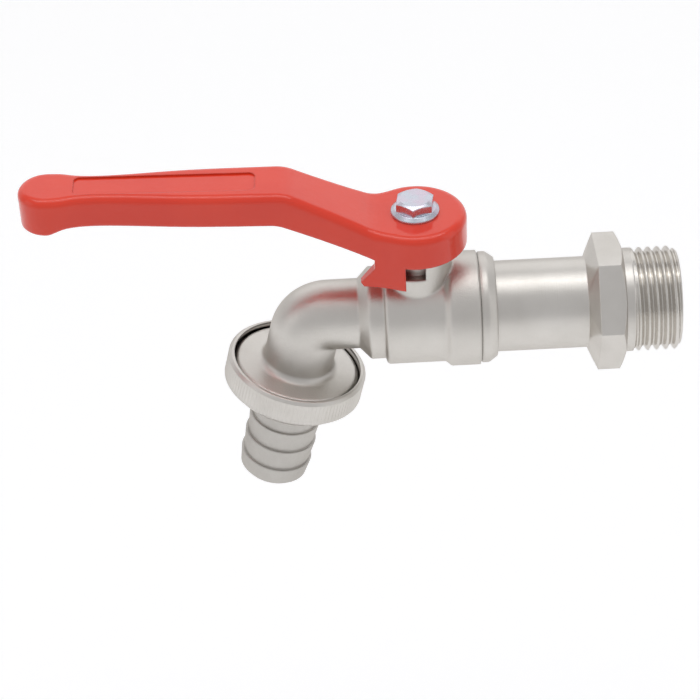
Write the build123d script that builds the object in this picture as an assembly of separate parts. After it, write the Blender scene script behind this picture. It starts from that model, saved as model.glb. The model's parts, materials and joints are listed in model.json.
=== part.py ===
from build123d import *
import math
import os

# Hose ball valve: a lever ball valve with a screwed inlet tail, an elbow spout and a hose union.
# Millimetres. The origin is on the flow axis at the inlet hexagon's shoulder. +X points out of
# the inlet thread and +Z up the stem. The valve stands open, with its lever along -X.

# Ball and waterway
ball_d = 16.0
ball_wall = 3.0
chamber_gap = 0.4
water_step = 0.2
inlet_step = 0.5

# Seats
seat_step = 0.3
seat_floor = 1.55
seat_lip = 1.45
seat_side_gap = 0.1
seat_ball_gap = 0.04

# Inlet tail
inlet_thread_d = 20.955
inlet_thread_len = 11.2
inlet_thread_bevel = 1.0
hex_af = 24.0
hex_len = 5.4
hex_cone_len = 2.0
hex_bevel_len = 1.0
hex_bevel_drop = 2.4
hex_clocking = -6.0
barrel_len = 18.2
barrel_step = 0.2
tail_screw_shoulder = 1.0
tail_screw_len = 7.9
tail_screw_relief = 0.4
screw_gap = 0.05
thread_relief = 0.3

# Body along the flow axis
mouth_wall = 0.6
rim_wall = 1.8
rim_len = 3.0
rim_bevel_len = 1.7
rim_round = 1.0
groove_depth = 0.35
groove_len = 0.5
collar_step = 0.35
collar_len = 9.3
collar_cone_len = 1.1
forging_round = 0.8
housing_wall = 2.2
neck_lap = 1.0
neck_wall = 1.0
neck_step_len = 0.4
neck_len = 3.3
neck_bevel_len = 2.2

# Stem and its seals
stem_d = 7.0
stem_gap = 0.05
tang_thickness = 3.0
tang_inset = 0.8
tang_gap = 0.1
slot_floor = 0.8
collar_rise = 0.7
stem_collar_step = 1.0
stem_collar_len = 1.2
washer_len = 0.8
ring_slack = 0.1
ring_gap = 0.02
flat_depth = 0.7
flats_gap = 0.05

# Stem boss and its stop
ledge_rise = 1.5
gland_len = 4.4
core_wall = 0.6
stop_width = 1.85
stop_face = 1.5
stop_gap = 0.4

# Lever
hub_lip = 3.15
hub_len = 7.25
hub_gap = 0.5
hub_blend_angle = 65.0
hub_blend_len = 3.8
arm_lap = 2.4
arm_foot_lap = 4.15
arm_run = 17.4
arm_foot_run = 20.95
arm_rise = 8.9
arm_knee_r = 8.0
arm_half_width = 6.9
grip_slope = 1.5
grip_root_half_width = 6.15
grip_root_len = 6.9
grip_tip_half_width = 5.05
grip_tip_len = 6.7
grip_len = 39.75
knob_half_width = 5.7
knob_blend_len = 4.7
knob_drop = 1.15
knob_drop_len = 3.0
knob_knee_r = 4.0
lever_top_fillet = 1.6
lever_foot_fillet = 0.8
lever_wall = 2.0
lever_skin = 2.4
hollow_corner = 1.2
panel_root_margin = 4.0
panel_tip_margin = 0.5
panel_side_margin = 0.4
panel_depth = 0.35
panel_corner = 1.2
skirt_clearance = 1.2
skirt_gap = 0.8
skirt_wall = 1.2
skirt_from = 2.5
skirt_waist = 8.45
skirt_notch_drop = 0.6
skirt_notch_r = 1.0
skirt_toe_len = 2.85
skirt_toe_rise = 0.9
skirt_toe_bevel = 0.6
segment_in_gap = 0.35
segment_out_gap = 0.2
segment_room = 2.6
stem_top_drop = 2.2
stem_top_room = 0.3

# Lever screw
screw_d = 4.0
screw_len = 9.0
screw_hole_gap = 0.25
screw_tip_room = 0.8
screw_flange_width = 0.75
screw_flange_len = 1.1
screw_flange_rise = 0.5
screw_hex_af = 7.0
screw_hex_len = 2.1
screw_clocking = 22.0
screw_bevel = 0.5

# Elbow spout and outlet
spout_reach = 10.1
spout_tilt = 14.0
spout_wall = 2.3
elbow_r = 5.0
outlet_at = 11.9
outlet_fillet = 1.6
outlet_dish = 0.3
outlet_root_depth = 0.9
outlet_d = 26.0
outlet_bevel = 0.9
outlet_len = 3.1

# Hose union
hose_washer_len = 1.2
hose_washer_step = 0.4
flange_side_gap = 1.2
tail_flange_len = 1.0
nut_wall = 1.15
nut_gap = 0.15
nut_cover = 0.3
nut_top_land = 0.55
nut_top_bevel_len = 0.6
nut_web_len = 1.2
nut_hole_gap = 0.35
nut_foot_bevel = 1.5
nut_foot_bevel_len = 1.5
barb_step = 0.2
barb_wall = 2.35
barb_rise = 0.5
barb_crest_round = 0.25
barb_neck_len = 7.0
barb_count = 3
barb_pitch = 4.9
barb_tip_len = 4.6
barb_tip_bevel = 0.9

# Radii and diameters that follow from the ball, the stem and the outlet
ball_r = ball_d / 2
ball_bore_d = ball_d - 2 * ball_wall
chamber_r = ball_r + chamber_gap
water_d = ball_bore_d - 2 * water_step
inlet_bore_d = ball_bore_d + 2 * inlet_step
seat_bore_r = ball_bore_d / 2 + seat_step
seat_ball_r = ball_r + seat_ball_gap
tail_screw_d = 2 * (chamber_r + tail_screw_shoulder)
barrel_d = tail_screw_d - 2 * barrel_step
mouth_r = tail_screw_d / 2 + screw_gap
rim_r = mouth_r + rim_wall
collar_r = rim_r + collar_step
housing_r = chamber_r + housing_wall
neck_r = chamber_r + neck_wall
spout_d = water_d + 2 * spout_wall
stem_collar_d = stem_d + 2 * stem_collar_step
pocket_r = stem_collar_d / 2 + stem_gap
core_r = pocket_r + core_wall
boss_r = core_r + stop_width
hub_r = boss_r + hub_lip
flats_af = stem_d - 2 * flat_depth
tail_flange_d = outlet_d - 2 * flange_side_gap
nut_thread_r = outlet_d / 2 + nut_gap
nut_r = nut_thread_r + nut_wall
barb_bore_d = water_d - 2 * barb_step
barb_root_d = barb_bore_d + 2 * barb_wall
barb_crest_d = barb_root_d + 2 * barb_rise
nut_hole_r = barb_crest_d / 2 + nut_hole_gap

# Places along the flow axis
seat_rim = math.sqrt(seat_ball_r ** 2 - seat_bore_r ** 2)
seat_face = seat_rim - seat_lip
seat_back = seat_rim + seat_floor
hex_end_x = -(hex_len + hex_cone_len)
mouth_x = hex_end_x - barrel_len
stem_x = mouth_x - tail_screw_len - seat_back
tail_end_x = stem_x + seat_back
chamber_end_x = stem_x - seat_back
housing_end_x = chamber_end_x + neck_lap
neck_end_x = housing_end_x - neck_len
elbow_x = neck_end_x - neck_bevel_len - spout_reach

# Heights up the stem
slot_z = ball_r - ball_wall + slot_floor
collar_z = ball_r + collar_rise
washer_z = collar_z + stem_collar_len
ring_z = washer_z + washer_len
ring_room = pocket_r - stem_d / 2 + ring_slack
pocket_z = ring_z + ring_room
ledge_z = housing_r + ledge_rise
boss_z = pocket_z + gland_len
hub_z = boss_z + hub_gap
hub_top = hub_z + hub_len
stem_top = hub_top - stem_top_drop
skirt_z = housing_r + skirt_clearance

# Distances from the stem along the lever, and heights of the grip
arm_start = hub_r - arm_lap
arm_foot = hub_r - arm_foot_lap
arm_neck = hub_r + hub_blend_len
arm_end = arm_start + arm_run
arm_foot_end = arm_foot + arm_foot_run
grip_tip = arm_foot_end + grip_len
knob_at = grip_tip + knob_blend_len
lever_reach = knob_at + knob_half_width
slope = math.tan(math.radians(grip_slope))
grip_z = hub_top + arm_rise
tip_z = grip_z + slope * (grip_tip - arm_end)

# Distances from the elbow's corner along the spout
outlet_end = outlet_at + outlet_len
hose_flange_at = outlet_end + hose_washer_len
nut_web_at = hose_flange_at + tail_flange_len
nut_top_at = outlet_at - nut_cover
nut_end = nut_web_at + nut_web_len
barb_first = nut_end + barb_neck_len
barb_last = barb_first + barb_pitch * (barb_count - 1)
barb_end = barb_last + barb_tip_len

# Frames: +X of the flow, the stem upwards, the lever's side view (reach, height), the grip's top
# face, and the spout downwards from the elbow's corner
tilt = math.radians(spout_tilt)
flow = Plane(origin=(0, 0, 0), x_dir=(0, 1, 0), z_dir=(1, 0, 0))
upright = Plane(origin=(stem_x, 0, 0), x_dir=(1, 0, 0), z_dir=(0, 0, 1))
side_view = Plane(origin=(stem_x, 0, 0), x_dir=(-1, 0, 0), z_dir=(0, 1, 0))
grip_face = Plane(origin=(stem_x - arm_end, 0, grip_z), x_dir=(-1, 0, slope), z_dir=(slope, 0, 1))
spout = Plane(origin=(elbow_x, 0, 0), x_dir=(0, 1, 0), z_dir=(-math.sin(tilt), 0, -math.cos(tilt)))


def turned(frame, *outline):
    """A turned solid. Outline points are (distance along the frame's axis, radius), with a third
    number where the corner is rounded."""
    section = make_face(Polyline(*[(point[1], point[0]) for point in outline], close=True))
    for along, radius, *rounding in outline:
        if rounding:
            corner = section.vertices().sort_by_distance((radius, along, 0))[0]
            section = fillet(corner, rounding[0])
    return frame * revolve(Plane.XZ * section, Axis.Z)


def rod(frame, start, end, diameter):
    """A plain round rod between two distances along the frame's axis."""
    return turned(frame, (start, 0), (start, diameter / 2), (end, diameter / 2), (end, 0))


def hexagon(frame, start, end, across_flats, clocking):
    """A hexagonal prism between two distances along the frame's axis."""
    outline = RegularPolygon(across_flats / 2, 6, major_radius=False, rotation=clocking)
    return frame * Pos(0, 0, start) * extrude(outline, end - start)


def hexagon_taper(frame, start, end, start_af, end_af, clocking):
    """A tapered hexagon with six flat sides between two distances along the frame's axis."""
    ends = [
        Pos(0, 0, along) * RegularPolygon(across_flats / 2, 6, major_radius=False, rotation=clocking)
        for along, across_flats in ((start, start_af), (end, end_af))
    ]
    return frame * loft(ends, ruled=True)


def across_corners(across_flats):
    return across_flats / math.cos(math.radians(30))


def inlet_tail():
    """Threaded end, hexagon with a bevelled front and a tapered back, barrel and the screwed end."""
    thread_r = inlet_thread_d / 2
    bore_r = inlet_bore_d / 2
    barrel_r = barrel_d / 2
    screw_r = tail_screw_d / 2
    corner_r = across_corners(hex_af) / 2
    screw_start = mouth_x - tail_screw_relief
    core = turned(
        flow,
        (inlet_thread_len, bore_r),
        (inlet_thread_len, thread_r - inlet_thread_bevel),
        (inlet_thread_len - inlet_thread_bevel, thread_r),
        (0, thread_r),
        (0, barrel_r),
        (screw_start, barrel_r),
        (screw_start, screw_r),
        (tail_end_x, screw_r),
        (tail_end_x, bore_r),
    )
    envelope = turned(
        flow,
        (0, bore_r),
        (0, corner_r - hex_bevel_drop),
        (-hex_bevel_len, corner_r),
        (-hex_len, corner_r),
        (hex_end_x, barrel_r),
        (hex_end_x, bore_r),
    )
    spanner = hexagon(flow, -hex_len, 0, hex_af, hex_clocking)
    spanner += hexagon_taper(flow, -hex_len, hex_end_x, hex_af, barrel_d, hex_clocking)
    return core + (spanner & envelope)


def body_barrel():
    """Outside of the body along the flow axis: rim, collar, ball housing and neck."""
    rim_start = mouth_x - rim_len
    collar_end = mouth_x - collar_len
    return turned(
        flow,
        (mouth_x, 0),
        (mouth_x, mouth_r + mouth_wall),
        (mouth_x - rim_bevel_len, rim_r, rim_round),
        (rim_start, rim_r),
        (rim_start - groove_len / 2, rim_r - groove_depth),
        (rim_start - groove_len, collar_r),
        (collar_end, collar_r, forging_round),
        (collar_end - collar_cone_len, housing_r, forging_round),
        (housing_end_x, housing_r, forging_round),
        (housing_end_x - neck_step_len, neck_r),
        (neck_end_x, neck_r, forging_round),
        (neck_end_x - neck_bevel_len, spout_d / 2),
        (neck_end_x - neck_bevel_len, 0),
    )


def elbow(diameter, start_x, end_at):
    """Round passage along the flow axis, round the elbow and down the spout."""
    turn = 90 - spout_tilt
    tangent = elbow_r * math.tan(math.radians(turn / 2))
    bend_x = elbow_x + tangent
    radius = diameter / 2
    bend_axis = Axis((bend_x, 0, -elbow_r), (0, -1, 0))
    ring = Plane(origin=(bend_x, 0, 0), x_dir=(0, 1, 0), z_dir=(1, 0, 0))
    section = ring * (Circle(radius) & Pos(0, -elbow_r) * Rectangle(
        diameter, elbow_r + radius, align=(Align.CENTER, Align.MIN)))
    bend = revolve(section, bend_axis, turn)
    return rod(flow, bend_x, start_x, diameter) + bend + rod(spout, tangent, end_at, diameter)


def outlet():
    """Threaded outlet below the spout, with a dished back and a fillet to the tube."""
    thread_r = outlet_d / 2
    root_r = thread_r - outlet_root_depth
    tube_r = spout_d / 2
    fillet_r = tube_r + outlet_fillet
    disc = turned(
        spout,
        (outlet_at, 0),
        (outlet_at, fillet_r),
        (outlet_at + outlet_dish, root_r),
        (outlet_at + outlet_dish + outlet_root_depth, thread_r),
        (outlet_end - outlet_bevel, thread_r),
        (outlet_end, thread_r - outlet_bevel),
        (outlet_end, 0),
    )
    bulge = outlet_fillet * (1 - math.cos(math.radians(45)))
    shoulder = Line((tube_r, 0, outlet_at), (fillet_r, 0, outlet_at))
    wall = Line((tube_r, 0, outlet_at), (tube_r, 0, outlet_at - outlet_fillet))
    hollow = ThreePointArc(
        (tube_r, 0, outlet_at - outlet_fillet),
        (tube_r + bulge, 0, outlet_at - bulge),
        (fillet_r, 0, outlet_at),
    )
    return disc + spout * revolve(make_face([shoulder, wall, hollow]), Axis.Z)


def stem_boss():
    """Boss round the stem, cut back to a core over the outlet side for the lever's stop."""
    boss = rod(upright, 0, boss_z, 2 * boss_r)
    core = rod(upright, ledge_z, boss_z, 2 * core_r)
    cut = upright * Pos(stop_face, 0, ledge_z) * Box(
        3 * boss_r, 3 * boss_r, boss_z, align=(Align.MAX, Align.CENTER, Align.MIN))
    return boss - (cut - core)


def valve_body():
    bore_end = tail_end_x - thread_relief
    shell = body_barrel() + stem_boss() + elbow(spout_d, neck_end_x, outlet_at) + outlet()
    hollow = rod(flow, mouth_x, bore_end, 2 * mouth_r)
    hollow += rod(flow, bore_end, chamber_end_x, 2 * chamber_r)
    hollow += elbow(water_d, chamber_end_x, outlet_end)
    hollow += rod(upright, 0, pocket_z, 2 * pocket_r)
    hollow += rod(upright, 0, boss_z, stem_d + 2 * stem_gap)
    return shell - hollow


def ball():
    """Ball with its bore along the flow axis and the stem's slot across its top."""
    slot = Pos(stem_x, 0, slot_z) * Box(
        tang_thickness + 2 * tang_gap, ball_d, ball_d, align=(Align.CENTER, Align.CENTER, Align.MIN))
    bore = rod(flow, stem_x - ball_d, stem_x + ball_d, ball_bore_d)
    return Pos(stem_x, 0, 0) * Sphere(ball_r) - bore - slot


def seat(side):
    """Seat ring on one side of the ball: side is 1 for the inlet and -1 for the outlet."""
    outer_r = chamber_r - seat_side_gap
    face_r = math.sqrt(seat_ball_r ** 2 - seat_face ** 2)
    middle = (math.atan2(seat_bore_r, seat_rim) + math.atan2(face_r, seat_face)) / 2
    hollow = ThreePointArc(
        (seat_bore_r, 0, side * seat_rim),
        (seat_ball_r * math.sin(middle), 0, side * seat_ball_r * math.cos(middle)),
        (face_r, 0, side * seat_face),
    )
    rest = Polyline(
        (face_r, 0, side * seat_face),
        (outer_r, 0, side * seat_face),
        (outer_r, 0, side * seat_back),
        (seat_bore_r, 0, side * seat_back),
        (seat_bore_r, 0, side * seat_rim),
    )
    return Pos(stem_x, 0, 0) * (flow * revolve(make_face([hollow, rest]), Axis.Z))


def flatted(start, end, diameter, across_flats):
    """A round upright rod with two flats that face along the flow axis."""
    flats = upright * Pos(0, 0, start) * Box(
        across_flats, diameter, end - start, align=(Align.CENTER, Align.CENTER, Align.MIN))
    return rod(upright, start, end, diameter) & flats


def stem():
    """Stem with its tang in the ball's slot, collar, shaft and the flats in the lever."""
    tang_z = slot_z + tang_gap
    tang = upright * Pos(0, 0, tang_z) * Box(
        tang_thickness, stem_collar_d - 2 * tang_inset, washer_z - tang_z,
        align=(Align.CENTER, Align.CENTER, Align.MIN))
    shaft = rod(upright, collar_z, washer_z, stem_collar_d) + rod(upright, washer_z, hub_z, stem_d)
    shaft += flatted(hub_z, stem_top, stem_d, flats_af)
    hole_z = hub_top - screw_len - screw_tip_room
    return shaft + tang - rod(upright, hole_z, stem_top, screw_d + 2 * screw_gap)


def thrust_washer():
    inner_r = stem_d / 2 + stem_gap
    outer_r = stem_collar_d / 2
    return turned(upright, (washer_z, inner_r), (washer_z, outer_r), (ring_z, outer_r), (ring_z, inner_r))


def stem_o_ring():
    section_r = (pocket_r - stem_d / 2) / 2 - ring_gap
    centre_r = (pocket_r + stem_d / 2) / 2
    return upright * Pos(0, 0, ring_z + ring_room / 2) * Torus(centre_r, section_r)


def lever_side():
    """Side view of hub, rising arm, grip and knob, as a wide slab that runs on past both ends."""
    past = 2 * lever_reach
    tip_foot = tip_z - grip_tip_len
    knob_foot = tip_foot - knob_drop
    outline = make_face(Polyline(
        (-past, hub_top),
        (arm_start, hub_top),
        (arm_end, grip_z),
        (past, grip_z + slope * (past - arm_end)),
        (past, knob_foot),
        (knob_at, knob_foot),
        (knob_at - knob_drop_len, tip_foot),
        (arm_foot_end, grip_z - grip_root_len),
        (arm_foot, hub_z),
        (-past, hub_z),
        close=True,
    ))
    arm_knees = [corner for corner in outline.vertices() if abs(corner.X) < grip_tip]
    outline = fillet(arm_knees, arm_knee_r)
    knob_knees = [corner for corner in outline.vertices() if grip_tip < corner.X < lever_reach]
    return extrude(side_view * fillet(knob_knees, knob_knee_r), 2 * hub_r, both=True)


def lever_plan():
    """Top view of the lever's outline as a tall prism: round hub, waisted grip, half-round end."""
    blend = math.radians(hub_blend_angle)
    leave_x = stem_x - hub_r * math.cos(blend)
    leave_y = hub_r * math.sin(blend)
    middle_x = stem_x - (arm_foot_end + grip_tip) / 2
    middle_half_width = (grip_root_half_width + grip_tip_half_width) / 2
    knob_x = stem_x - knob_at
    edges = [
        ThreePointArc((leave_x, leave_y), (stem_x + hub_r, 0), (leave_x, -leave_y)),
        ThreePointArc((knob_x, knob_half_width), (stem_x - lever_reach, 0), (knob_x, -knob_half_width)),
    ]
    for side in (1, -1):
        edges.append(Spline(
            (leave_x, side * leave_y),
            (stem_x - arm_neck, side * arm_half_width),
            (stem_x - arm_foot_end, side * grip_root_half_width),
            (middle_x, side * middle_half_width),
            (stem_x - grip_tip, side * grip_tip_half_width),
            (knob_x, side * knob_half_width),
            tangents=((-math.sin(blend), -side * math.cos(blend)), (-1, 0)),
        ))
    return extrude(make_face(edges), 2 * tip_z)


def rim_edges(solid, up):
    """Edges between the upward (1) or downward (-1) faces and the upright walls."""
    level = [face for face in solid.faces() if face.normal_at().Z * up > 0.5]
    walls = [face for face in solid.faces() if abs(face.normal_at().Z) < 0.3]
    level_edges = {edge for face in level for edge in face.edges()}
    wall_edges = {edge for face in walls for edge in face.edges()}
    return [edge for edge in solid.edges() if edge in level_edges and edge in wall_edges]


def grip_hollow(side):
    """Hollow in the underside of arm and grip, with a skin left at the top and walls at the sides."""
    root_half = grip_root_half_width - lever_wall
    tip_half = grip_tip_half_width - lever_wall
    start = stem_x - arm_foot_end
    end = stem_x - grip_tip
    outline = make_face(Polyline(
        (start, root_half), (end, tip_half), (end, -tip_half), (start, -root_half), close=True))
    tall = extrude(fillet(outline.vertices(), hollow_corner), tip_z)
    return tall & Pos(0, 0, -lever_skin) * side


def stop_skirt(plan):
    """Skirt under the hub's front side, with a rounded notch and a toe towards the grip."""
    notch = (skirt_waist, hub_z - skirt_notch_drop)
    toe_at = skirt_waist + skirt_toe_len
    root = hub_z + hub_len / 2
    outline = make_face(Polyline(
        (skirt_from, root),
        (skirt_from, skirt_z),
        (toe_at - skirt_toe_bevel, skirt_z),
        (toe_at, skirt_z + skirt_toe_rise),
        notch,
        (skirt_waist, root),
        close=True,
    ))
    outline = fillet(outline.vertices().sort_by_distance((*notch, 0))[0], skirt_notch_r)
    slab = extrude(side_view * outline, -2 * hub_r)
    inside = rod(upright, 0, hub_top, 2 * (boss_r + skirt_gap))
    behind = Pos(stem_x, skirt_wall - arm_half_width, 0) * Box(
        4 * hub_r, 2 * hub_r, 2 * hub_top, align=(Align.CENTER, Align.MIN, Align.CENTER))
    return (slab & plan) - inside - behind


def stop_segment():
    """Ring segment under the hub whose two ends meet the boss's stop a quarter turn apart."""
    reach = stop_face - stop_gap
    inner_r = core_r + segment_in_gap
    outer_r = boss_r - segment_out_gap
    foot = ledge_z + segment_room
    root = hub_z + hub_len / 2
    ring = turned(upright, (foot, inner_r), (foot, outer_r), (root, outer_r), (root, inner_r))
    window = upright * Pos(reach, reach, 0) * Box(
        3 * hub_r, 3 * hub_r, 3 * hub_top, align=(Align.MAX, Align.MAX, Align.CENTER))
    return ring & window


def lever():
    side = lever_side()
    plan = lever_plan()
    grip = side & plan
    grip = fillet(rim_edges(grip, 1), lever_top_fillet)
    grip = fillet(rim_edges(grip, -1), lever_foot_fillet)
    panel_len = grip_tip - panel_tip_margin - arm_foot_end - panel_root_margin
    panel_width = 2 * (grip_tip_half_width - lever_top_fillet - panel_side_margin)
    panel_at = arm_foot_end + panel_root_margin - arm_end + panel_len / 2
    panel = grip_face * Pos(panel_at, 0, -panel_depth) * extrude(
        RectangleRounded(panel_len, panel_width, panel_corner), 2 * panel_depth)
    grip = grip - grip_hollow(side) - panel + stop_skirt(plan) + stop_segment()
    flats = flatted(0, stem_top + stem_top_room, stem_d + 2 * flats_gap, flats_af + 2 * flats_gap)
    return grip - flats - rod(upright, 0, 2 * hub_top, screw_d + 2 * screw_hole_gap)


def lever_screw():
    """Hexagon flange screw that holds the lever down on the stem."""
    corner_r = across_corners(screw_hex_af) / 2
    flange_r = corner_r + screw_flange_width
    flange_z = hub_top + screw_flange_len
    hex_top = flange_z + screw_hex_len
    shank = rod(upright, hub_top - screw_len, hub_top, screw_d)
    flange = turned(
        upright, (hub_top, 0), (hub_top, flange_r), (hub_top + screw_flange_rise, flange_r),
        (flange_z, corner_r), (flange_z, 0))
    crown = turned(
        upright, (flange_z, 0), (flange_z, corner_r), (hex_top - screw_bevel, corner_r),
        (hex_top, screw_hex_af / 2 - screw_bevel), (hex_top, 0))
    return shank + flange + (hexagon(upright, flange_z, hex_top, screw_hex_af, screw_clocking) & crown)


def union_nut():
    """Ring nut: bevelled rim, knurled band, and a web that holds the hose tail's flange."""
    return turned(
        spout,
        (nut_top_at, nut_thread_r),
        (nut_top_at, nut_thread_r + nut_top_land),
        (nut_top_at + nut_top_bevel_len, nut_r),
        (nut_end - nut_foot_bevel_len, nut_r),
        (nut_end, nut_r - nut_foot_bevel),
        (nut_end, nut_hole_r),
        (nut_web_at, nut_hole_r),
        (nut_web_at, nut_thread_r),
    )


def hose_tail():
    """Flanged tube with saw-tooth barbs that rise away from the tip."""
    bore_r = barb_bore_d / 2
    root_r = barb_root_d / 2
    teeth = []
    for tooth in range(barb_count):
        crest = barb_first + barb_pitch * tooth
        teeth += [(crest, root_r), (crest, barb_crest_d / 2, barb_crest_round)]
    return turned(
        spout,
        (hose_flange_at, bore_r),
        (hose_flange_at, tail_flange_d / 2),
        (nut_web_at, tail_flange_d / 2),
        (nut_web_at, root_r),
        *teeth,
        (barb_end - barb_tip_bevel, root_r),
        (barb_end, root_r - barb_tip_bevel),
        (barb_end, bore_r),
    )


def hose_washer():
    inner_r = water_d / 2 + hose_washer_step
    outer_r = tail_flange_d / 2
    return turned(
        spout, (outlet_end, inner_r), (outlet_end, outer_r),
        (hose_flange_at, outer_r), (hose_flange_at, inner_r))


nodes = {
    "inlet_tail": inlet_tail(),
    "valve_body": valve_body(),
    "ball": ball(),
    "inlet_seat": seat(1),
    "outlet_seat": seat(-1),
    "stem": stem(),
    "thrust_washer": thrust_washer(),
    "stem_o_ring": stem_o_ring(),
    "lever": lever(),
    "lever_screw": lever_screw(),
    "union_nut": union_nut(),
    "hose_tail": hose_tail(),
    "hose_washer": hose_washer(),
}

os.makedirs("parts", exist_ok=True)
for name, solid in nodes.items():
    export_step(solid, os.path.join("parts", name + ".step"))
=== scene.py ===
import json
import math
import bpy
import numpy as np
from mathutils import Matrix, Vector


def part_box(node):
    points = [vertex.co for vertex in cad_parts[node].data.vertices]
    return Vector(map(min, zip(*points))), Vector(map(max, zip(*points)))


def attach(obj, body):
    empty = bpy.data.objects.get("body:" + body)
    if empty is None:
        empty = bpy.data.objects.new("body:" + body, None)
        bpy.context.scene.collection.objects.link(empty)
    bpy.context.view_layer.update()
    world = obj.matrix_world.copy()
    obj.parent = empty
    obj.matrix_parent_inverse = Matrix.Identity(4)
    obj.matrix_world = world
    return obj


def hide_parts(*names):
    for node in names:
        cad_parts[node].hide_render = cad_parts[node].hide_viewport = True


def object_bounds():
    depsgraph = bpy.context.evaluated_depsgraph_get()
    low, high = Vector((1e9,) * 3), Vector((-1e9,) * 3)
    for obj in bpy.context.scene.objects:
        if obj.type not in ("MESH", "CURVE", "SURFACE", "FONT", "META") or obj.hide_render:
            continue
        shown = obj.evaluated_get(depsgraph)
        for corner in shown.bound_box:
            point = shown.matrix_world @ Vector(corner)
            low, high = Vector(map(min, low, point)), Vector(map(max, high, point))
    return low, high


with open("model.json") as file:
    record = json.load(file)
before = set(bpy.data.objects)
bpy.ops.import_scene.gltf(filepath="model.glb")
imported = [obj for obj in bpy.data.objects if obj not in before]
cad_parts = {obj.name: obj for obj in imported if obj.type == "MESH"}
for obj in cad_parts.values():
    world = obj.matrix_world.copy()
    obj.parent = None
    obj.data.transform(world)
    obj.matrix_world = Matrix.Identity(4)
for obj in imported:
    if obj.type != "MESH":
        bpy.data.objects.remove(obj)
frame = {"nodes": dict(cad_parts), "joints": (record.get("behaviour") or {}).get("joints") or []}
cad_low, cad_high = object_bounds()
nodes = frame["nodes"]
joints = {joint["name"]: joint for joint in frame["joints"]}
mm = 0.001

# Inlet tail
# The screw-in end of the valve: brass bar turned to a G 1/2 pipe thread, a spanner hexagon and a barrel,
# plated with satin nickel. Its inner end is screwed into the body and holds the inlet seat on the ball.
tail_low, tail_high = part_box("inlet_tail")
tail_bore_r = 5.5 * mm
pipe_thread_r = 20.955 / 2 * mm
pipe_pitch = 1.814 * mm
pipe_thread_depth = 0.55 * pipe_pitch
pipe_thread_bevel = 1.0 * mm
thread_shoulder = 1.7 * mm
thread_run_out = 0.8 * mm
thread_step = pipe_pitch / 24
thread_polish = 0.16
hex_flat_r = 12.0 * mm
hex_corner_r = hex_flat_r / math.cos(math.pi / 6)
hex_clocking = math.radians(-6.0)
hex_front_len = 1.0 * mm
hex_front_drop = 2.4 * mm
hex_len = 5.4 * mm
hex_end = 7.4 * mm
hex_back_rows = 13
barrel_r = 9.2 * mm
tail_screw_r = 9.4 * mm
tail_screw_at = -26.0 * mm
tail_turns = 216
nickel_light = (0.700, 0.675, 0.638, 1.0)
nickel_dull = (0.630, 0.604, 0.566, 1.0)
# Painted shade: the dark tone that the inner corners, grooves and thread roots of the nickel parts darken to,
# by ambient occlusion shaped by the reach, shut and open values below.
nickel_corner_shade = (0.110, 0.098, 0.085, 1.0)
nickel_edge = {"Specular Tint": (0.78, 0.76, 0.74, 1.0)}
corner_reach = 4.0 * mm
corner_shut = 0.16
corner_open = 0.42
smooth_edge_angle = math.radians(34)


def skin_round_axis(name, along, radius, angle, origin, axis, across):
    """Closed skin round an axis, from whole arrays. Grid point (i, j) lies along[i, j] up the axis from the
    origin and radius[i, j] out from it, turned angle[j] from the across direction by the right-hand rule.
    Rows and columns both close on themselves. The rows come down the outer side against the axis and go back
    up the bore, so that every face points outwards. Edges sharper than smooth_edge_angle stay sharp."""
    up = np.array(Vector(axis).normalized())
    first = np.array(Vector(across).normalized())
    second = np.cross(up, first)
    outward = np.cos(angle)[:, None] * first + np.sin(angle)[:, None] * second
    points = np.array(origin) + along[..., None] * up + radius[..., None] * outward[None]
    index = np.arange(along.size).reshape(along.shape)
    below = np.roll(index, -1, axis=0)
    quads = np.stack([index, below, np.roll(below, -1, axis=1), np.roll(index, -1, axis=1)], axis=-1)
    mesh = bpy.data.meshes.new(name)
    mesh.from_pydata(points.reshape(-1, 3).tolist(), [], quads.reshape(-1, 4).tolist())
    mesh.polygons.foreach_set("use_smooth", np.ones(quads.size // 4, bool))
    mesh.set_sharp_from_angle(angle=smooth_edge_angle)
    piece = bpy.data.objects.new(name, mesh)
    bpy.context.scene.collection.objects.link(piece)
    return piece


def add_node(tree, kind, inputs=None, **settings):
    """A shader node with its settings. A socket's value is set plainly, or linked where it is an output."""
    made = tree.nodes.new(kind)
    for setting, value in settings.items():
        setattr(made, setting, value)
    for socket, value in (inputs or {}).items():
        if isinstance(value, bpy.types.NodeSocket):
            tree.links.new(value, made.inputs[socket])
        else:
            made.inputs[socket].default_value = value
    return made


def mix_colour(tree, share, first, second):
    """The colour that goes from first to second with the share. A Mix node keeps its colours in inputs 6
    and 7 and its mixed colour in output 2."""
    return add_node(tree, "ShaderNodeMix", {0: share, 6: first, 7: second}, data_type="RGBA").outputs[2]


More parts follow.
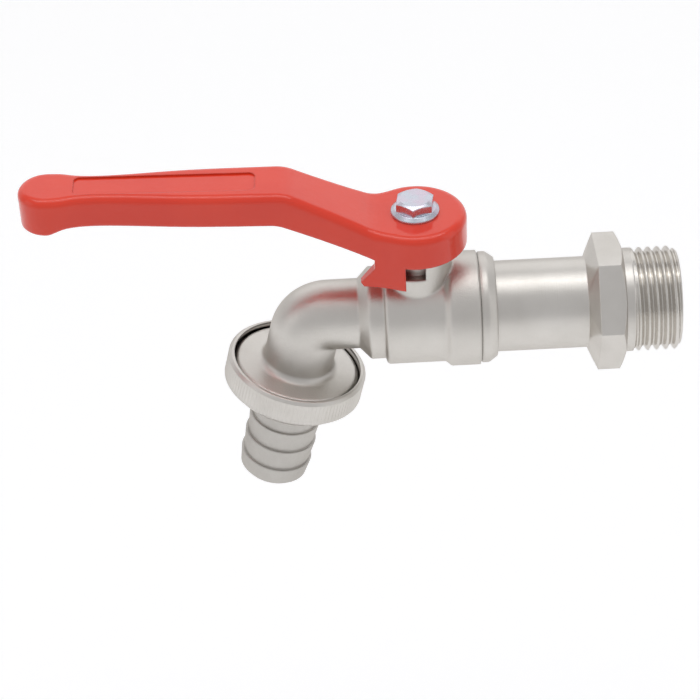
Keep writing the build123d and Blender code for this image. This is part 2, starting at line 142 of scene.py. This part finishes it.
def plated_skin_group():
    """Surface of a metal or moulded finish: broad clouds that shift its tone, a fine grain that shifts its
    polish, and a height made of that grain and of cutter lines, which are noise that changes only along the
    turned axis."""
    group = bpy.data.node_groups.new("plated_skin", "ShaderNodeTree")
    sockets = (
        ("Point", "INPUT", "NodeSocketVector"), ("Along", "INPUT", "NodeSocketFloat"),
        ("Light Tone", "INPUT", "NodeSocketColor"), ("Dull Tone", "INPUT", "NodeSocketColor"),
        ("Cloud Scale", "INPUT", "NodeSocketFloat"), ("Grain Scale", "INPUT", "NodeSocketFloat"),
        ("Line Scale", "INPUT", "NodeSocketFloat"), ("Line Share", "INPUT", "NodeSocketFloat"),
        ("Smoothest", "INPUT", "NodeSocketFloat"), ("Roughest", "INPUT", "NodeSocketFloat"),
        ("Tone", "OUTPUT", "NodeSocketColor"), ("Polish", "OUTPUT", "NodeSocketFloat"),
        ("Height", "OUTPUT", "NodeSocketFloat"),
    )
    for name, way, kind in sockets:
        group.interface.new_socket(name=name, in_out=way, socket_type=kind)
    given = group.nodes.new("NodeGroupInput").outputs
    clouds = add_node(group, "ShaderNodeTexNoise", {
        "Vector": given["Point"], "Scale": given["Cloud Scale"], "Detail": 4.0})
    grain = add_node(group, "ShaderNodeTexNoise", {
        "Vector": given["Point"], "Scale": given["Grain Scale"], "Detail": 2.0})
    lines = add_node(group, "ShaderNodeTexNoise", {
        "W": given["Along"], "Scale": given["Line Scale"], "Detail": 3.0}, noise_dimensions="1D")
    mask = add_node(group, "ShaderNodeMapRange", {
        "Value": clouds.outputs["Fac"], "From Min": 0.35, "From Max": 0.65})
    tone = mix_colour(group, mask.outputs["Result"], given["Light Tone"], given["Dull Tone"])
    polish = add_node(group, "ShaderNodeMapRange", {
        "Value": grain.outputs["Fac"], "From Min": 0.25, "From Max": 0.75,
        "To Min": given["Smoothest"], "To Max": given["Roughest"]})
    height = add_node(group, "ShaderNodeMix", {
        "Factor": given["Line Share"], "A": grain.outputs["Fac"], "B": lines.outputs["Fac"]},
        data_type="FLOAT")
    result = group.nodes.new("NodeGroupOutput").inputs
    group.links.new(tone, result["Tone"])
    group.links.new(polish.outputs["Result"], result["Polish"])
    group.links.new(height.outputs[0], result["Height"])
    return group


plated_skin = plated_skin_group()


def finish_material(name, light, dull, smoothest, roughest, metallic, cloud_scale, grain_scale, bump,
                    axis_turn=(0.0, 0.0, 0.0), line_scale=0.0, line_share=0.0, edge_r=0.0,
                    corner_shade_tone=None, shader=None):
    """Material of a piece: its skin comes from the shared group on Object coordinates. axis_turn turns the
    piece's turned axis onto X for the cutter lines. edge_r rounds sharp edges for the light. The corner tone
    is
    painted shade: the dark tone that inner corners darken to, by ambient occlusion. shader holds plain
    values."""
    material = bpy.data.materials.new(name)
    material.use_nodes = True
    tree = material.node_tree
    point = add_node(tree, "ShaderNodeTexCoord").outputs["Object"]
    turned = add_node(tree, "ShaderNodeMapping", {"Vector": point, "Rotation": axis_turn})
    along = add_node(tree, "ShaderNodeSeparateXYZ", {"Vector": turned.outputs["Vector"]}).outputs["X"]
    skin = add_node(tree, "ShaderNodeGroup", node_tree=plated_skin)
    values = {
        "Light Tone": light, "Dull Tone": dull, "Cloud Scale": cloud_scale, "Grain Scale": grain_scale,
        "Line Scale": line_scale, "Line Share": line_share, "Smoothest": smoothest, "Roughest": roughest}
    for socket, value in values.items():
        skin.inputs[socket].default_value = value
    tree.links.new(point, skin.inputs["Point"])
    tree.links.new(along, skin.inputs["Along"])
    relief = add_node(tree, "ShaderNodeBump", {
        "Height": skin.outputs["Height"], "Strength": 1.0, "Distance": bump})
    if edge_r:
        edge = add_node(tree, "ShaderNodeBevel", {"Radius": edge_r}, samples=6)
        tree.links.new(edge.outputs["Normal"], relief.inputs["Normal"])
    tone = skin.outputs["Tone"]
    # Painted shade: ambient occlusion darkens the tone towards the corner tone in inner corners, grooves and
    # gaps between parts.
    if corner_shade_tone:
        reach = add_node(tree, "ShaderNodeAmbientOcclusion", {"Distance": corner_reach}, samples=8)
        open_share = add_node(tree, "ShaderNodeMapRange", {
            "Value": reach.outputs["AO"], "From Min": corner_shut, "From Max": corner_open})
        tone = mix_colour(tree, open_share.outputs["Result"], corner_shade_tone, tone)
    bsdf = tree.nodes["Principled BSDF"]
    tree.links.new(tone, bsdf.inputs["Base Color"])
    tree.links.new(skin.outputs["Polish"], bsdf.inputs["Roughness"])
    tree.links.new(relief.outputs["Normal"], bsdf.inputs["Normal"])
    bsdf.inputs["Metallic"].default_value = metallic
    for socket, value in (shader or {}).items():
        bsdf.inputs[socket].default_value = value
    return material


def inlet_tail_skin():
    """The bar's outline as rows round its axis. On the hexagon the radius is the flat's distance over the
    cosine of the angle from that flat's middle, and the front cone stops where it meets that radius. Behind
    the hexagon the radius is the lesser of six flat slopes and a cone, both straight from the hexagon to the
    barrel. On the thread the radius falls from the crest by half the depth times one minus the cosine of the
    helix phase, which is the way along over the pitch less the turn. The groove fades in behind the shoulder
    and the end bevel cuts the crests."""
    turn = hex_clocking + np.arange(tail_turns) * 2 * math.pi / tail_turns
    from_flat = (turn - hex_clocking) % (math.pi / 3) - math.pi / 6
    hexagon = hex_flat_r / np.cos(from_flat)
    ring = np.ones_like(turn)
    thread_len = tail_high.x
    way = np.linspace(thread_len, 0, round(thread_len / thread_step) + 1)[:, None] * ring
    phase = way / pipe_pitch - turn / (2 * math.pi)
    fade = np.clip((way - thread_shoulder) / thread_run_out, 0, 1)
    groove = pipe_thread_depth * fade * (1 - np.cos(2 * math.pi * phase)) / 2
    bevel = pipe_thread_r - np.maximum(0, way - thread_len + pipe_thread_bevel)
    thread = np.minimum(pipe_thread_r - groove, bevel)
    front_r = hex_corner_r - hex_front_drop
    front_way = -(hexagon - front_r) / hex_front_drop * hex_front_len
    share = np.linspace(0, 1, hex_back_rows)[:, None]
    back_way = (hex_len - hex_end) * share * ring - hex_len
    slopes = (hex_flat_r + (barrel_r - hex_flat_r) * share) / np.cos(from_flat)
    back = np.minimum(slopes, hex_corner_r + (barrel_r - hex_corner_r) * share)
    rows = [
        (thread_len * ring, tail_bore_r * ring),
        *zip(way, thread),
        (0 * ring, front_r * ring),
        (front_way, hexagon),
        *zip(back_way, back),
        (tail_screw_at * ring, barrel_r * ring),
        (tail_screw_at * ring, tail_screw_r * ring),
        (tail_low.x * ring, tail_screw_r * ring),
        (tail_low.x * ring, tail_bore_r * ring),
    ]
    along = np.array([row[0] for row in rows])
    radius = np.array([row[1] for row in rows])
    return skin_round_axis("inlet_tail_threaded", along, radius, turn, (0, 0, 0), (1, 0, 0), (0, 1, 0))


def polish_pipe_thread(material):
    """The cut thread is smoother than the bar: past its shoulder, thread_polish comes off the roughness."""
    tree = material.node_tree
    bsdf = tree.nodes["Principled BSDF"]
    polish = bsdf.inputs["Roughness"].links[0].from_socket
    point = add_node(tree, "ShaderNodeTexCoord").outputs["Object"]
    along = add_node(tree, "ShaderNodeSeparateXYZ", {"Vector": point}).outputs["X"]
    cut = add_node(tree, "ShaderNodeMath", {0: along, 1: thread_shoulder}, operation="GREATER_THAN")
    less = add_node(tree, "ShaderNodeMath", {0: cut.outputs[0], 1: thread_polish}, operation="MULTIPLY")
    smooth = add_node(tree, "ShaderNodeMath", {0: polish, 1: less.outputs[0]}, operation="SUBTRACT")
    tree.links.new(smooth.outputs[0], bsdf.inputs["Roughness"])


tail_finish = finish_material(
    "satin_nickel_turned", nickel_light, nickel_dull, smoothest=0.30, roughest=0.42, metallic=1.0,
    cloud_scale=90.0, grain_scale=2600.0, bump=0.03 * mm, line_scale=4200.0, line_share=0.6,
    edge_r=0.3 * mm, corner_shade_tone=nickel_corner_shade, shader=nickel_edge)
polish_pipe_thread(tail_finish)
inlet_tail = inlet_tail_skin()
inlet_tail.data.materials.append(tail_finish)
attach(inlet_tail, "valve")
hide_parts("inlet_tail")

# Valve body
# One brass forging that holds the ball: collar, housing, stem boss, elbow spout and the threaded outlet disc.
# It is shot-blasted after forging, machined inside and at its ends, and plated with satin nickel.
spout_axis = Vector(joints["union_nut_turn"]["axis"]).normalized()
spout_start = Vector(joints["union_nut_turn"]["pos_m"])
outlet_thread_r = 13.0 * mm
outlet_thread_from = 13.1 * mm
outlet_thread_to = 14.6 * mm
outlet_thread_depth = 0.5 * mm
body_finish = finish_material(
    "satin_nickel_forged", nickel_light, nickel_dull, smoothest=0.34, roughest=0.46, metallic=1.0,
    cloud_scale=70.0, grain_scale=3000.0, bump=0.04 * mm, edge_r=0.8 * mm,
    corner_shade_tone=nickel_corner_shade, shader=nickel_edge)


def cut_outlet_thread(material):
    """Thread relief on the outlet: in a frame with its third axis down the spout, the height is the cosine of
    the helix phase, which is the way along over the pitch less the turn, and a mask keeps it to the rim."""
    tree = material.node_tree
    lean = math.atan2(-spout_axis.x, spout_axis.z)
    turn = Matrix.Rotation(lean, 3, "Y")
    placed = add_node(tree, "ShaderNodeMapping", {
        "Vector": add_node(tree, "ShaderNodeTexCoord").outputs["Object"],
        "Rotation": (0.0, lean, 0.0), "Location": -(turn @ spout_start)})
    across_x, across_y, along = add_node(
        tree, "ShaderNodeSeparateXYZ", {"Vector": placed.outputs["Vector"]}).outputs

    def math_node(operation, first, second=0.0):
        return add_node(tree, "ShaderNodeMath", {0: first, 1: second}, operation=operation).outputs[0]

    angle = math_node("ARCTAN2", across_y, across_x)
    phase = math_node("SUBTRACT", math_node("MULTIPLY", along, 2 * math.pi / pipe_pitch), angle)
    square_x = math_node("MULTIPLY", across_x, across_x)
    square_y = math_node("MULTIPLY", across_y, across_y)
    radius = math_node("SQRT", math_node("ADD", square_x, square_y))
    on_rim = math_node("GREATER_THAN", radius, outlet_thread_r - outlet_thread_depth)
    past_start = math_node("GREATER_THAN", along, outlet_thread_from)
    before_end = math_node("LESS_THAN", along, outlet_thread_to)
    mask = math_node("MULTIPLY", on_rim, math_node("MULTIPLY", past_start, before_end))
    height = math_node("MULTIPLY", mask, math_node("COSINE", phase))
    bsdf = tree.nodes["Principled BSDF"]
    skin_normal = bsdf.inputs["Normal"].links[0].from_socket
    thread = add_node(tree, "ShaderNodeBump", {
        "Height": height, "Distance": outlet_thread_depth / 2, "Normal": skin_normal})
    tree.links.new(thread.outputs["Normal"], bsdf.inputs["Normal"])


def dress(node, finish):
    """Gives a node of the solids its finish."""
    nodes[node].data.materials.clear()
    nodes[node].data.materials.append(finish)


cut_outlet_thread(body_finish)
dress("valve_body", body_finish)

# Ball seats and stem washer
# White PTFE rings, turned from bar: two seats that hold the ball and the washer under the stem's shoulder.
# They lie in pockets of the body and the inlet tail and are held by the pressure of the screwed joint.
ptfe_light = (0.82, 0.82, 0.80, 1.0)
ptfe_dull = (0.76, 0.76, 0.73, 1.0)
ptfe_finish = finish_material(
    "ptfe_white", ptfe_light, ptfe_dull, smoothest=0.38, roughest=0.5, metallic=0.0,
    cloud_scale=120.0, grain_scale=2400.0, bump=0.02 * mm)
for node in ("inlet_seat", "outlet_seat", "thrust_washer"):
    dress(node, ptfe_finish)

# Ball
# The shut-off ball: brass, turned and drilled through, with a slot for the stem, then polished and chromed.
# It floats between the two seats and turns with the stem.
chrome_light = (0.66, 0.68, 0.70, 1.0)
chrome_dull = (0.60, 0.62, 0.65, 1.0)
ball_finish = finish_material(
    "polished_chrome", chrome_light, chrome_dull, smoothest=0.05, roughest=0.10, metallic=1.0,
    cloud_scale=60.0, grain_scale=2000.0, bump=0.004 * mm)
dress("ball", ball_finish)

# Stem
# The spindle from the lever to the ball: turned brass with a tang below and two milled flats above, left
# bare. It is put in from inside, so that its shoulder keeps it from blowing out.
brass_light = (0.78, 0.57, 0.25, 1.0)
brass_dull = (0.66, 0.46, 0.19, 1.0)
stem_turn = (0.0, math.pi / 2, 0.0)
stem_finish = finish_material(
    "turned_brass", brass_light, brass_dull, smoothest=0.22, roughest=0.34, metallic=1.0,
    cloud_scale=120.0, grain_scale=2600.0, bump=0.03 * mm, axis_turn=stem_turn,
    line_scale=4200.0, line_share=0.7, edge_r=0.2 * mm)
dress("stem", stem_finish)

# Stem ring and hose washer
# Black nitrile rubber: the moulded O-ring that seals the stem, and the flat washer punched for the hose
# union. Both are only clamped, with no glue.
rubber_light = (0.022, 0.022, 0.023, 1.0)
rubber_dull = (0.030, 0.030, 0.030, 1.0)
rubber_finish = finish_material(
    "nitrile_rubber", rubber_light, rubber_dull, smoothest=0.5, roughest=0.7, metallic=0.0,
    cloud_scale=150.0, grain_scale=2600.0, bump=0.05 * mm)
for node in ("stem_o_ring", "hose_washer"):
    dress(node, rubber_finish)

# Lever
# The handle: a zinc die casting with hub, arm, hollow grip and stop skirt, coated with a thick glossy red
# enamel that flows a little round its edges. It sits on the stem's two flats under the flange screw.
red_light = (0.840, 0.044, 0.013, 1.0)
red_dull = (0.800, 0.036, 0.010, 1.0)
enamel_gloss = {"Coat Weight": 0.9, "Coat Roughness": 0.09, "Coat IOR": 1.6, "Specular IOR Level": 0.05}
lever_finish = finish_material(
    "red_enamel", red_light, red_dull, smoothest=0.30, roughest=0.40, metallic=0.0,
    cloud_scale=60.0, grain_scale=700.0, bump=0.06 * mm, edge_r=0.6 * mm, shader=enamel_gloss)
dress("lever", lever_finish)

# Lever screw
# Hexagon flange screw M4 that holds the lever on the stem: cold-headed steel with a bluish zinc plating.
# It is driven into the top of the stem.
zinc_blue = (0.58, 0.62, 0.69, 1.0)
zinc_violet = (0.65, 0.57, 0.66, 1.0)
zinc_finish = finish_material(
    "zinc_plate", zinc_blue, zinc_violet, smoothest=0.20, roughest=0.30, metallic=1.0,
    cloud_scale=420.0, grain_scale=1400.0, bump=0.006 * mm, edge_r=0.3 * mm)
dress("lever_screw", zinc_finish)

# Hose tail
# The hose barb: a brass tube turned with a flange and three saw-tooth barbs, plated with satin nickel.
# The ring nut presses its flange and the rubber washer against the outlet.
spout_turn = (0.0, math.atan2(spout_axis.z, spout_axis.x), 0.0)
# Painted shade: the hose tail has the same satin nickel plating as the other parts, given a darker tone that
# stands in for the darker surroundings it reflects. Its corner tone is painted shade in its inner corners.
hose_shaded_nickel_light = (0.560, 0.539, 0.508, 1.0)
hose_shaded_nickel_dull = (0.490, 0.469, 0.440, 1.0)
hose_corner_shade = (0.280, 0.262, 0.240, 1.0)
hose_finish = finish_material(
    "shaded_satin_nickel_hose", hose_shaded_nickel_light, hose_shaded_nickel_dull, smoothest=0.36, roughest=0.50, metallic=1.0,
    cloud_scale=90.0, grain_scale=2600.0, bump=0.03 * mm, axis_turn=spout_turn,
    line_scale=4200.0, line_share=0.6, edge_r=0.3 * mm, corner_shade_tone=hose_corner_shade, shader=nickel_edge)
dress("hose_tail", hose_finish)

# Union nut
# The ring nut of the hose union: brass ring with an inside thread, turned, knurled for the fingers and plated
# with satin nickel. It turns on the outlet and carries the hose tail's flange on its web.
nut_top = 11.6 * mm
nut_web = 17.2 * mm
nut_end = 18.4 * mm
nut_thread_r = 13.15 * mm
nut_r = 14.3 * mm
nut_hole_r = 7.8 * mm
nut_top_land = 0.55 * mm
nut_top_bevel = 0.6 * mm
nut_foot_bevel = 1.5 * mm
nut_thread_depth = 0.45 * mm
nut_thread_fade = 0.8 * mm
nut_thread_rows = 40
knurl_teeth = 108
knurl_depth = 0.16 * mm
knurl_fade = 0.5 * mm
knurl_rows = 13
nut_turns = knurl_teeth * 6


def union_nut_skin():
    """Rows round the spout's axis. On the band the radius is the nut's less half the knurl's depth times one
    plus the cosine of the tooth count times the turn, fading out towards both bevels. Inside, the thread
    grooves go outwards by half their depth times one minus the cosine of the helix phase."""
    turn = np.arange(nut_turns) * 2 * math.pi / nut_turns
    ring = np.ones_like(turn)
    band_top = nut_top + nut_top_bevel
    band_end = nut_end - nut_foot_bevel
    way = np.linspace(band_end, band_top, knurl_rows)[:, None] * ring
    edge = np.minimum(way - band_top, band_end - way)
    fade = np.clip(edge / knurl_fade, 0, 1)
    band = nut_r - knurl_depth * fade * (1 + np.cos(knurl_teeth * turn)) / 2
    inner_way = np.linspace(nut_top, nut_web, nut_thread_rows)[:, None] * ring
    phase = inner_way / pipe_pitch - turn / (2 * math.pi)
    inner_edge = np.minimum(inner_way - nut_top, nut_web - inner_way)
    inner_fade = np.clip(inner_edge / nut_thread_fade, 0, 1)
    inner = nut_thread_r + nut_thread_depth * inner_fade * (1 - np.cos(2 * math.pi * phase)) / 2
    rows = [
        (nut_end * ring, nut_hole_r * ring),
        (nut_end * ring, (nut_r - nut_foot_bevel) * ring),
        *zip(way, band),
        (nut_top * ring, (nut_thread_r + nut_top_land) * ring),
        *zip(inner_way, inner),
        (nut_web * ring, nut_hole_r * ring),
    ]
    along = np.array([row[0] for row in rows])
    radius = np.array([row[1] for row in rows])
    return skin_round_axis("union_nut_knurled", along, radius, turn, spout_start, spout_axis, (0, 1, 0))


nut_finish = finish_material(
    "satin_nickel_nut", nickel_light, nickel_dull, smoothest=0.32, roughest=0.44, metallic=1.0,
    cloud_scale=90.0, grain_scale=2600.0, bump=0.03 * mm, axis_turn=spout_turn,
    line_scale=4200.0, line_share=0.6, edge_r=0.3 * mm, corner_shade_tone=nickel_corner_shade, shader=nickel_edge)
union_nut = union_nut_skin()
union_nut.data.materials.append(nut_finish)
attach(union_nut, "union_nut")
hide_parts("union_nut")

# Studio
# A white paper sweep that runs under the valve and up behind it, soft boxes overhead, behind and on each
# side, a strip light that draws a line along rounded edges, and an even grey room. The camera stands where
# the photograph was taken from, half a metre away.
sweep_drop = 0.12
sweep_half_width = 5.0
sweep_front = -5.0
sweep_back = 2.4
sweep_bend_r = 0.8
sweep_bend_points = 25
sweep_height = 2.6
sweep_white = (0.86, 0.86, 0.86, 1.0)
sweep_glow = 0.30
room_grey = (0.59, 0.59, 0.60, 1.0)
view_azimuth = math.radians(-0.2871)
view_elevation = math.radians(37.1104)
view_roll = math.radians(3.0899)
view_distance = 0.5
view_target = Vector((-55.3183, 0.0, -9.2589)) * mm
pixel_size = 0.204513 * mm
image_width = 700
sensor_width = 36.0


def soft_box(name, offset, width, depth, glow):
    """A lit panel at an offset from the valve's middle and turned to it. Its power is glow, the brightness of
    its face, times pi times its area."""
    lamp = bpy.data.lights.new(name, "AREA")
    lamp.shape = "RECTANGLE"
    lamp.size = width
    lamp.size_y = depth
    lamp.energy = glow * math.pi * width * depth
    panel = bpy.data.objects.new(name, lamp)
    panel.location = view_target + Vector(offset)
    panel.rotation_mode = "QUATERNION"
    panel.rotation_quaternion = (-Vector(offset)).to_track_quat("-Z", "Y")
    bpy.context.scene.collection.objects.link(panel)
    return panel


def paper_sweep():
    """The paper's side view carried across the studio: flat, then a quarter circle, then straight up."""
    floor_z = cad_low.z - sweep_drop
    bend = np.linspace(0, math.pi / 2, sweep_bend_points)
    bend_y = sweep_back - sweep_bend_r + sweep_bend_r * np.sin(bend)
    bend_z = sweep_bend_r - sweep_bend_r * np.cos(bend)
    side_y = np.concatenate([[sweep_front], bend_y, [sweep_back]])
    side_z = np.concatenate([[0.0], bend_z, [sweep_height]]) + floor_z
    left = np.stack([np.full_like(side_y, -sweep_half_width), side_y, side_z], axis=1)
    right = left * (-1, 1, 1)
    index = np.arange(len(side_y) - 1)
    across = index + len(side_y)
    quads = np.stack([index, across, across + 1, index + 1], axis=1)
    mesh = bpy.data.meshes.new("paper_sweep")
    mesh.from_pydata(np.concatenate([left, right]).tolist(), [], quads.tolist())
    mesh.polygons.foreach_set("use_smooth", np.ones(len(quads), bool))
    paper = bpy.data.objects.new("paper_sweep", mesh)
    bpy.context.scene.collection.objects.link(paper)
    return paper


def paper_material():
    """White paper that camera, mirror and glass rays see a little brighter than it is lit, shadows too."""
    material = bpy.data.materials.new("white_paper")
    material.use_nodes = True
    tree = material.node_tree
    path = add_node(tree, "ShaderNodeLightPath").outputs
    direct = add_node(tree, "ShaderNodeMath", {
        0: path["Is Camera Ray"], 1: path["Is Glossy Ray"]}, operation="MAXIMUM")
    seen = add_node(tree, "ShaderNodeMath", {
        0: direct.outputs[0], 1: path["Is Transmission Ray"]}, operation="MAXIMUM")
    glow = add_node(tree, "ShaderNodeMath", {0: seen.outputs[0], 1: sweep_glow}, operation="MULTIPLY")
    bsdf = tree.nodes["Principled BSDF"]
    bsdf.inputs["Base Color"].default_value = sweep_white
    bsdf.inputs["Roughness"].default_value = 0.9
    bsdf.inputs["Specular IOR Level"].default_value = 0.0
    bsdf.inputs["Emission Color"].default_value = (1.0, 1.0, 1.0, 1.0)
    tree.links.new(glow.outputs[0], bsdf.inputs["Emission Strength"])
    return material


sweep = paper_sweep()
sweep.data.materials.append(paper_material())
top_box = soft_box("soft_box_top", (0.0, 0.05, 0.75), width=0.9, depth=0.6, glow=0.7)
top_strip = soft_box("strip_light_top", (0.0, 0.05, 0.70), width=0.9, depth=0.07, glow=2.4)
left_box = soft_box("soft_box_left", (-0.9, -0.25, 0.35), width=0.5, depth=0.7, glow=0.35)
right_box = soft_box("soft_box_right", (0.9, -0.25, 0.35), width=0.5, depth=0.7, glow=0.35)
back_box = soft_box("soft_box_back", (0.05, 1.1, 0.62), width=2.0, depth=0.9, glow=0.32)

world = bpy.data.worlds.new("studio_room")
world.use_nodes = True
world.node_tree.nodes["Background"].inputs["Color"].default_value = room_grey
bpy.context.scene.world = world

ahead = Vector((
    math.sin(view_azimuth) * math.cos(view_elevation),
    math.cos(view_azimuth) * math.cos(view_elevation),
    -math.sin(view_elevation)))
level_right = Vector((math.cos(view_azimuth), -math.sin(view_azimuth), 0.0))
level_up = level_right.cross(ahead)
camera_right = level_right * math.cos(view_roll) - level_up * math.sin(view_roll)
camera_up = level_right * math.sin(view_roll) + level_up * math.cos(view_roll)
lens = bpy.data.cameras.new("photo_camera")
lens.sensor_width = sensor_width
lens.lens = sensor_width * (view_distance / pixel_size) / image_width
lens.clip_start = 0.01
lens.clip_end = 100.0
camera = bpy.data.objects.new("photo_camera", lens)
camera_turn = Matrix((camera_right, camera_up, -ahead)).transposed().to_4x4()
camera.matrix_world = Matrix.Translation(view_target - ahead * view_distance) @ camera_turn
bpy.context.scene.collection.objects.link(camera)
bpy.context.scene.camera = camera
bpy.context.scene.view_settings.view_transform = "Standard"
